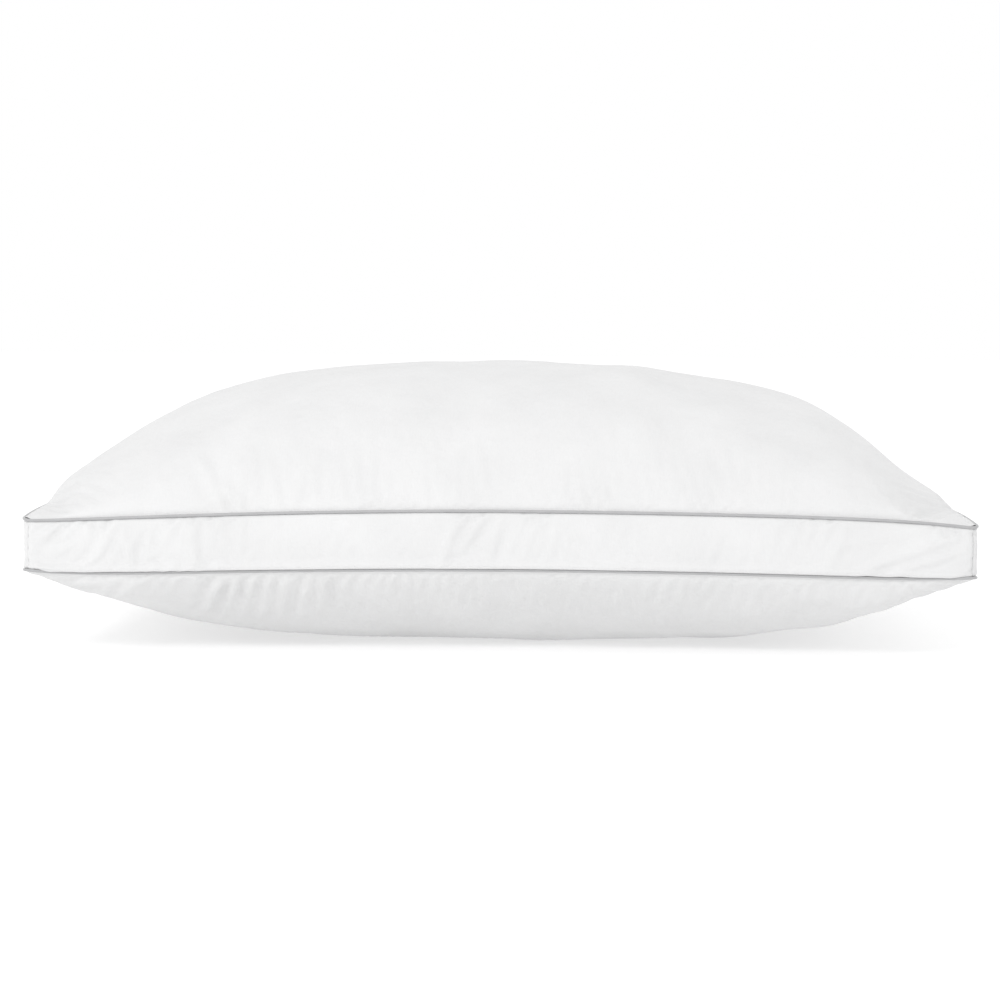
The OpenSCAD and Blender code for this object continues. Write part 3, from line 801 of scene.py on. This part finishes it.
top_piping, piping_cut = piping_object("top_piping", TOP, 301)
bottom_piping, _ = piping_object("bottom_piping", BOTTOM, 331)


def cord_object(name, level):
    """The twisted three-ply cord inside the piping."""
    around, plies, lay, groove = 12, 3, 7.0, 0.07
    base, run, loop, outward = seam_line(level)
    twist = 2 * math.pi * run / loop * round(loop / lay)
    rings = []
    for k in range(around):
        t = 2 * math.pi * k / around
        radius = CORD_R * (1 - groove + groove * np.cos(plies * t - twist))
        rings.append(around_cord(base, outward, radius, t))
    X = np.stack(rings, 1)
    return new_object(name, X.reshape(-1, 3), grid_faces(*X.shape[:2], wrap=True, wrap_across=True))


top_cord = cord_object("top_cord", TOP)
bottom_cord = cord_object("bottom_cord", BOTTOM)


# ---- fill
def sampled(X, P, u, v):
    """Points of a panel's grid at plan places u by v."""
    i = np.interp(u, P[:, P.shape[1] // 2, 0], np.arange(P.shape[0]))[:, None]
    j = np.interp(v, P[P.shape[0] // 2, :, 1], np.arange(P.shape[1]))[None]
    i0, j0 = np.minimum(i.astype(int), len(P) - 2), np.minimum(j.astype(int), P.shape[1] - 2)
    fi, fj = (i - i0)[..., None], (j - j0)[..., None]
    return mix(mix(X[i0, j0], X[i0 + 1, j0], fi), mix(X[i0, j0 + 1], X[i0 + 1, j0 + 1], fi), fj)


# Rings round the fill's side: the share of the gusset's height, and how far it stands out there.
FILL_SIDE = ((0.96, 1.0), (0.85, 5.5), (0.65, 7.5), (0.35, 7.5), (0.15, 5.5), (0.04, 1.0))


def fill_object():
    """Fibre that fills the shell: the same form, a little smaller, lumpy, clear of the seams."""
    inset, clear, least_clear, off_floor = ALLOWANCE + 1.5, 3.2, 0.5, 1.0
    # Stations lie closer together towards the edges.
    crowd = 1.25
    u, v = (np.sin(np.linspace(-1, 1, k) * crowd) / math.sin(crowd) * (half - inset)
            for k, half in ((131, LENGTH / 2), (91, WIDTH / 2)))
    n, m = len(u), len(v)
    lids = []
    for X, P, up in ((top_grid, top_plan, 1), (bottom_grid, bottom_plan, -1)):
        soft = blurred(X, 6)
        # Where the cloth dips, the fibre dips with it.
        dip = np.maximum(up * (soft - X)[..., 2], 0)
        soft[..., 2] -= up * (dip + blurred(dip, 3))
        lid = sampled(soft, P, u, v)
        N = normals(lid)
        N *= np.sign(N[n // 2, m // 2, 2]) * up
        plan = lid[..., :2]
        lid = lid - N * (clear + 0.9 * (1 + noise(plan, 34, 401 + up)))[..., None]
        edge = seam_z(plan, TOP if up > 0 else BOTTOM) + up * (LAYER + 0.3)
        lid[..., 2] = np.maximum(lid[..., 2], edge) if up > 0 else np.clip(lid[..., 2], off_floor, edge)
        under = sampled(X, P, u, v)[..., 2] - up * least_clear
        lid[..., 2] = up * np.minimum(up * lid[..., 2], up * under)
        lids.append(lid)
    verts = list(lids[0].reshape(-1, 3)) + list(lids[1].reshape(-1, 3))
    faces = grid_faces(n, m) + [f[::-1] for f in grid_faces(n, m, base=n * m)]
    i, j, out = border(n, m)
    corner = np.abs(out).sum(-1) > 1
    out = np.where(corner[:, None], out * 0.75, out)
    edge = lids[0][i, j]
    rings = []
    for level, stand in FILL_SIDE:
        q = edge.copy()
        q[:, :2] += out * stand
        q[:, 2] = seam_z(q, level)
        rings.append(q)
    ids = i * m + j
    add_rings((verts, [], faces), ids, rings, [[]] * len(rings))
    last = len(verts) - len(ids) + np.arange(len(ids))
    lower = n * m + ids
    faces.extend(np.stack([last, np.roll(last, -1), np.roll(lower, -1), lower], -1).tolist())
    return new_object("loose_fill", verts, faces)


fill = fill_object()


# ---- label
def label_object():
    """A blank tab folded in two, sewn into the back's bottom seam and hanging free."""
    drop, thick, outer, inner = 35.0, 0.28, -0.75, -1.15
    tails = (-9.0, -5.0, -1.5)
    low, high = (np.array(v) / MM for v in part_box("care_label"))
    width = high[0] - low[0]
    ring = level_ring(0, BOTTOM, 0)
    back = ring[ring[:, 1] > 100]
    hang = back[np.abs(back[:, 0] - (low[0] + high[0]) / 2).argmin()]
    # From the side, outwards and upwards from the seam line: in the seam, down, the fold, up, in.
    s = np.linspace(0, 1, 26)
    out = np.interp(s, [0, 0.06, 1], [0.0, 0.25, 0]) + 3.4 * s ** 1.6
    down = LAYER + s * drop
    fold = np.linspace(0, np.pi, 7)[1:-1]
    path = [(tail, outer) for tail in tails]
    path += [(o + thick, -d) for o, d in zip(out, down)]
    path += [(out[-1] + thick * math.cos(t), -down[-1] - 0.45 * math.sin(t)) for t in fold]
    path += [(o - thick, -d) for o, d in zip(out[::-1], down[::-1])]
    path += [(tail, inner) for tail in tails[::-1]]
    path = np.array(path)
    run = distance_along(path)
    across = np.linspace(-width / 2, width / 2, 15)
    hanging = smooth((-path[:, 1] - 2) / drop)
    X = np.zeros((len(across), len(path), 3))
    X[..., 0] = hang[0] + across[:, None]
    curl = (1.5 * (across[:, None] / width * 2) ** 2 * hanging[None]
            + 0.7 * np.sin(across[:, None] / 7.5 + 0.6) * hanging[None])
    X[..., 1] = hang[1] + path[None, :, 0] - curl
    X[..., 2] = hang[2] + path[None, :, 1] + 0.6 * across[:, None] / width * hanging[None]
    R = np.stack(np.broadcast_arrays(across[:, None], run[None]), -1)
    obj = new_object("blank_label", X.reshape(-1, 3), grid_faces(*X.shape[:2]), R.reshape(-1, 2))
    return obj, (width * MM, run[-1] * MM)


label, label_cut = label_object()


# ---- closing stitches
def stitches_object(grid):
    """Small stitches that follow the left gusset's cloth just above its lower seam."""
    pitch, size, count, thread = 5.0, 3.4, 36, 0.28
    sides, rings, column = 6, 7, 3
    row, over = grid[:, column], normals(grid)[:, column]
    if over[len(over) // 2, 0] > 0:
        over = -over
    run = distance_along(row)
    arch = np.sin(np.linspace(0, np.pi, rings))
    radius = thread * (0.45 + 0.55 * arch)
    verts, faces = [], []
    for k in range(count):
        centre = run[-1] / 2 + (k - (count - 1) / 2) * pitch
        at = np.linspace(centre - size / 2, centre + size / 2, rings)
        line = np.stack([np.interp(at, run, row[:, c]) for c in range(3)], -1)
        up = np.stack([np.interp(at, run, over[:, c]) for c in range(3)], -1)
        line += up * (0.34 * arch - 0.12)[:, None]
        ahead = np.gradient(line, axis=0)
        ahead /= np.linalg.norm(ahead, axis=1, keepdims=True)
        side = np.cross(ahead, up)
        base = len(verts)
        for i in range(rings):
            for j in range(sides):
                t = 2 * math.pi * j / sides
                verts.append(line[i] + radius[i] * (math.cos(t) * side[i] + math.sin(t) * up[i]))
        for i in range(rings - 1):
            for j in range(sides):
                a, b = base + i * sides + j, base + i * sides + (j + 1) % sides
                faces.append((a, b, b + sides, a + sides))
        faces.append(tuple(base + j for j in range(sides))[::-1])
        faces.append(tuple(base + (rings - 1) * sides + j for j in range(sides)))
    return new_object("closing_stitch_row", verts, faces)


stitches = stitches_object(gussets["left"][1])


# ---- materials
class Nodes:
    """Short names for building a material's nodes. Lengths in them are metres."""

    def __init__(self, name):
        self.mat = bpy.data.materials.new(name)
        self.mat.use_nodes = True
        self.tree = self.mat.node_tree
        self.shader = self.tree.nodes["Principled BSDF"]

    def wire(self, socket, value):
        if isinstance(value, bpy.types.NodeSocket):
            self.tree.links.new(value, socket)
        else:
            socket.default_value = value

    def add(self, kind, inputs, **settings):
        node = self.tree.nodes.new(kind)
        for key, value in settings.items():
            setattr(node, key, value)
        for key, value in inputs.items():
            self.wire(node.inputs[key], value)
        return node

    def set(self, **values):
        for key, value in values.items():
            self.wire(self.shader.inputs[key.replace("_", " ")], value)

    def place(self):
        """The object's own coordinates."""
        return self.add("ShaderNodeTexCoord", {}).outputs["Object"]

    def cut(self):
        """Places on the flat, uncut cloth."""
        return self.add("ShaderNodeUVMap", {}, uv_map="cut").outputs["UV"]

    def mapped(self, vector, **inputs):
        return self.add("ShaderNodeMapping", {"Vector": vector, **inputs}).outputs[0]

    def noise(self, vector, scale, detail=2.0, **inputs):
        inputs = {"Vector": vector, "Scale": scale, "Detail": detail, **inputs}
        return self.add("ShaderNodeTexNoise", inputs).outputs["Fac"]

    def bands(self, vector, scale, distortion, direction, **inputs):
        inputs = {"Vector": vector, "Scale": scale, "Distortion": distortion, "Detail": 1.0, **inputs}
        return self.add("ShaderNodeTexWave", inputs, bands_direction=direction).outputs["Fac"]

    def math(self, operation, a, b):
        return self.add("ShaderNodeMath", {0: a, 1: b}, operation=operation).outputs[0]

    def scaled(self, a, by, plus):
        """a times by, plus a number or another output."""
        return self.math("ADD", self.math("MULTIPLY", a, by), plus)

    def blend(self, a, a_share, b, b_share):
        return self.scaled(a, a_share, self.math("MULTIPLY", b, b_share))

    def ramp(self, value, low, dark, high, light):
        """The colour dark where value is at most low, turning to light at high."""
        node = self.add("ShaderNodeValToRGB", {"Fac": value})
        for element, at, colour in zip(node.color_ramp.elements, (low, high), (dark, light)):
            element.position = at
            element.color = (*colour, 1)
        return node.outputs["Color"]

    def bump(self, height, distance, strength, under=None):
        inputs = {"Height": height, "Distance": distance, "Strength": strength}
        if under is not None:
            inputs["Normal"] = under
        return self.add("ShaderNodeBump", inputs).outputs["Normal"]


def weave(n, vector, pitch):
    """Over-and-under threads both ways, pitch metres apart."""
    warp, weft = (n.bands(vector, math.pi / 10 / pitch, 0.6, direction, **{"Detail Scale": 2.0})
                  for direction in ("X", "Y"))
    return n.math("MULTIPLY", warp, weft)


def ticking_material():
    """Close white ticking: woven threads, thicker ones here and there, and fine crumples."""
    n = Nodes("white_ticking")
    cut, place = n.cut(), n.place()
    slub = n.noise(n.mapped(cut, Scale=(900, 140, 1)), 1.0)
    crumple = n.noise(place, 95.0, 3.0, Roughness=0.45, Distortion=0.4)
    tone = n.blend(n.noise(place, 22.0), 0.7, slub, 0.3)
    threads = n.math("ADD", weave(n, cut, 0.0005), n.math("MULTIPLY", slub, 0.5))
    n.set(Base_Color=n.ramp(tone, 0.3, (0.700, 0.700, 0.702), 0.7, (0.742, 0.742, 0.744)),
          Roughness=n.scaled(slub, 0.12, 0.74), Sheen_Weight=0.2, Sheen_Roughness=0.45,
          Normal=n.bump(threads, 0.00006, 0.5, n.bump(crumple, 0.0011, 0.75)),
          Specular_IOR_Level=0.3)
    return n.mat


def satin_material():
    """Grey satin cut on the bias, eased into tiny gathers round the cord."""
    n = Nodes("grey_satin")
    cut = n.cut()
    bias = n.mapped(cut, Rotation=(0, 0, math.pi / 4))
    twill = n.bands(bias, 420.0, 0.8, "X")
    gather = n.noise(n.mapped(bias, Scale=(420, 60, 1)), 1.0)
    tone = n.blend(n.noise(cut, 60.0), 0.6, twill, 0.4)
    n.set(Base_Color=n.ramp(tone, 0.25, (0.370, 0.370, 0.376), 0.75, (0.450, 0.450, 0.456)),
          Roughness=n.scaled(gather, 0.15, 0.3), Sheen_Weight=0.3, Sheen_Roughness=0.3,
          Normal=n.bump(twill, 0.00002, 0.4, n.bump(gather, 0.0002, 0.35)),
          Specular_IOR_Level=0.6)
    return n.mat


def fibre_material():
    """Off-white fibre in loose tufts."""
    n = Nodes("loose_fibre")
    place = n.place()
    tangle = n.noise(place, 260.0, 5.0, Roughness=0.65, Distortion=2.5)
    tuft = n.noise(place, 45.0)
    tone = n.blend(tangle, 0.5, tuft, 0.5)
    n.set(Base_Color=n.ramp(tone, 0.35, (0.72, 0.70, 0.65), 0.65, (0.88, 0.87, 0.83)),
          Roughness=0.95, Sheen_Weight=0.4, Sheen_Roughness=0.6,
          Normal=n.bump(tangle, 0.0012, 0.8, n.bump(tuft, 0.003, 0.5)))
    return n.mat


def thread_material(name, dark, light, scale):
    """Twisted yarn: slanting plies that show whichever way the thread runs."""
    n = Nodes(name)
    place = n.place()
    ply = n.bands(place, scale, 0.5, "DIAGONAL")
    tone = n.blend(ply, 0.6, n.noise(place, 1500.0), 0.4)
    n.set(Base_Color=n.ramp(tone, 0.2, dark, 0.8, light), Roughness=0.6, Sheen_Weight=0.2,
          Normal=n.bump(ply, 0.0001, 0.7))
    return n.mat


def label_material():
    """Plain white woven tape."""
    n = Nodes("label_tape")
    cut = n.cut()
    fibres = n.noise(cut, 700.0, 4.0, Distortion=2.0)
    n.set(Base_Color=n.ramp(fibres, 0.35, (0.80, 0.80, 0.79), 0.65, (0.87, 0.87, 0.86)),
          Roughness=0.7, Sheen_Weight=0.1,
          Normal=n.bump(weave(n, cut, 0.0009), 0.00008, 0.5, n.bump(fibres, 0.0001, 0.5)))
    return n.mat


ticking, satin, fibre = ticking_material(), satin_material(), fibre_material()
sewing = thread_material("sewing_thread", (0.66, 0.66, 0.67), (0.86, 0.86, 0.86), 900.0)
cord_yarn = thread_material("cord_yarn", (0.62, 0.60, 0.55), (0.84, 0.82, 0.77), 260.0)
tape = label_material()


# ---- pieces on the frame
def dress(obj, mat, slot, *nodes):
    """Gives a piece its material, and puts it on the body in place of CAD nodes. The slot is not used.
    """
    obj.data.materials.clear()
    obj.data.materials.append(mat)
    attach(obj, "root")
    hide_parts(*nodes)


dress(top, ticking, "ticking", "top_panel")
dress(bottom, ticking, "ticking", "bottom_panel")
for side, (obj, _, size) in gussets.items():
    dress(obj, ticking, "ticking", f"gusset_{side}")
dress(top_piping, satin, "piping", "top_piping_cover")
dress(bottom_piping, satin, "piping", "bottom_piping_cover")
dress(top_cord, cord_yarn, "piping_cord", "top_piping_cord")
dress(bottom_cord, cord_yarn, "piping_cord", "bottom_piping_cord")
dress(fill, fibre, "fill", "fill")
dress(label, tape, "label", "care_label")
dress(stitches, sewing, "thread", "closing_stitches")
# The CAD's own threads and overlock edging stay, and take the yarn material.
for node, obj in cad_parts.items():
    if node.endswith(("_thread", "_threads", "_overlock")):
        obj.data.materials.clear()
        obj.data.materials.append(sewing)

# ---- stage
scene = bpy.context.scene
bpy.ops.mesh.primitive_plane_add(size=14, location=(0, 3, 0))
floor = bpy.context.object
floor.name = "floor"
paint = Nodes("pale_floor")
paint.set(Base_Color=(0.66, 0.66, 0.66, 1), Roughness=0.9, Specular_IOR_Level=0.0,
          Emission_Color=(1, 1, 1, 1), Emission_Strength=0.42)
floor.data.materials.append(paint.mat)

world = bpy.data.worlds.new("studio")
world.use_nodes = True
background = world.node_tree.nodes["Background"]
background.inputs["Color"].default_value = (1, 1, 1, 1)
background.inputs["Strength"].default_value = 1.0
scene.world = world
scene.view_settings.view_transform = "Standard"


def area_light(name, location, aim, size, power):
    """A square lamp of a size in metres and a power in watts, turned towards aim."""
    lamp = bpy.data.lights.new(name, "AREA")
    lamp.size = size
    lamp.energy = power
    obj = bpy.data.objects.new(name, lamp)
    obj.location = location
    obj.rotation_euler = (Vector(aim) - Vector(location)).to_track_quat("-Z", "Y").to_euler()
    scene.collection.objects.link(obj)


PILLOW = (0, 0, 0.1)
area_light("overhead", (0.6, 0.9, 2.2), PILLOW, 1.6, 0.6)
area_light("front", (-1.25, -2.65, 1.8), PILLOW, 0.7, 25)

# The photograph's viewing angle: a little above the seams, looking slightly down.
CAMERA_PLACE, CAMERA_DOWN, CAMERA_ROLL = (-0.0006, -2.3425, 0.284), 4.32, 0.5
camera_data = bpy.data.cameras.new("camera")
camera_data.sensor_width = 36
camera_data.lens = 98.6
camera = bpy.data.objects.new("camera", camera_data)
camera.location = CAMERA_PLACE
camera.rotation_euler = Euler((math.radians(90 - CAMERA_DOWN), 0, 0))
camera.rotation_euler.rotate_axis("Z", math.radians(CAMERA_ROLL))
scene.collection.objects.link(camera)
scene.camera = camera
